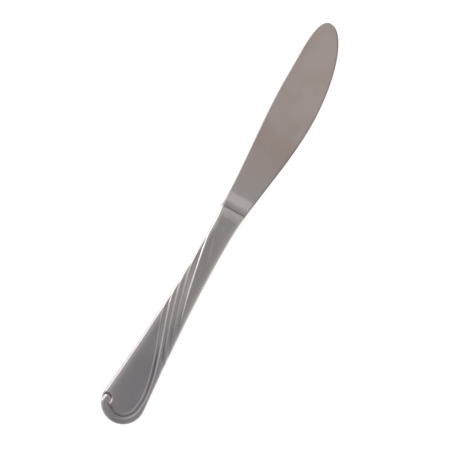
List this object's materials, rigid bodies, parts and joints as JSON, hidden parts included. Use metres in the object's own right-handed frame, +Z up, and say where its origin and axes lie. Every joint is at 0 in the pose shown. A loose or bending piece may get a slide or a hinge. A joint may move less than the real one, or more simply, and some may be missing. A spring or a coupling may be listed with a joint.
{
  "type": "table knife",
  "caption": "Table knife: a ground blade with bolster and tang, set with filler in a hollow handle of two struck half shells with a rib pattern and a smooth end panel.",
  "frame": {"origin": "middle of the knife's outline, on the surface that it lies on", "axes": "+X from the butt of the handle to the tip of the blade, +Y towards the spine, +Z up from the surface, so that the cutting edge faces -Y and the pictured face is up"},
  "size_m": [0.22, 0.0228, 0.0084],
  "materials": {
    "blade_steel": "satin",
    "handle_steel": "satin",
    "cement": "matte",
    "braze": "satin"
  },
  "bodies": {
    "root": {"blade": "blade_steel", "handle_shell_front": "handle_steel", "handle_shell_back": "handle_steel", "handle_filler": "cement", "seam_braze": "braze"}
  },
  "joints": []
}
